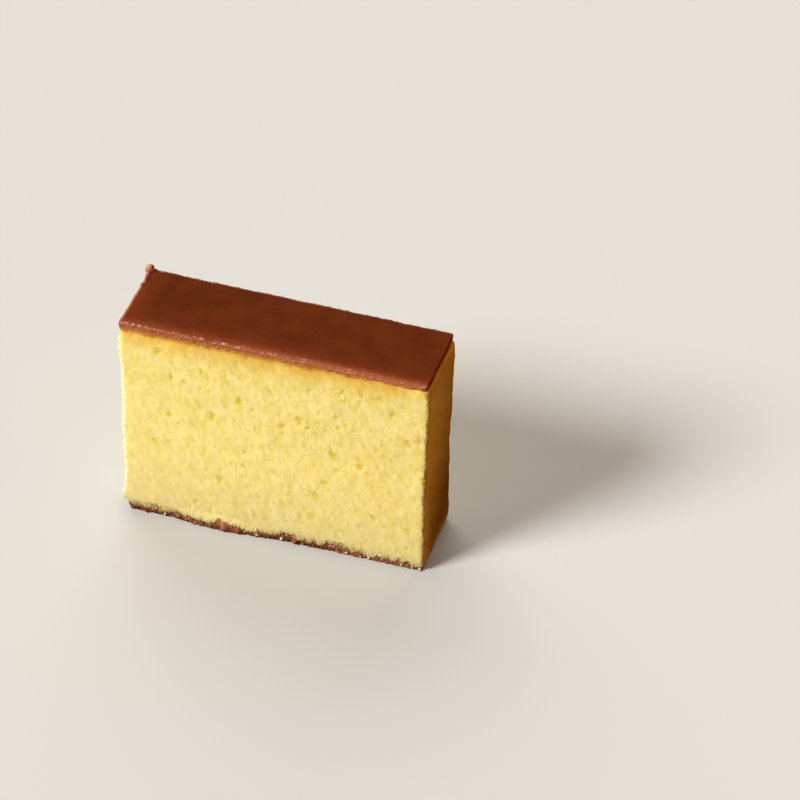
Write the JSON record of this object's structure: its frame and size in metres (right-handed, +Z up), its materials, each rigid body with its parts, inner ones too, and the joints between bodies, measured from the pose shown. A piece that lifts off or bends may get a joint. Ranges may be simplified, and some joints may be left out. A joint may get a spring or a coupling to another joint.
{
  "type": "castella sponge cake slice",
  "caption": "Upright rectangular slice of castella sponge cake with a brown top crust, fine yellow crumb and a thin brown base.",
  "frame": {"origin": "middle of the flat base that the slice stands on", "axes": "+X along the slice, from the end with the thicker crust edge to the other; +Y through its thickness, away from the front cut face; +Z up, from the base to the top crust"},
  "size_m": [0.0931, 0.0278, 0.0711],
  "materials": {
    "sponge": "soft, matt, finely porous yellow crumb between a smooth brown top crust and a thin brown bottom crust"
  },
  "bodies": {
    "root": {"castella_slice": "sponge"}
  },
  "joints": []
}
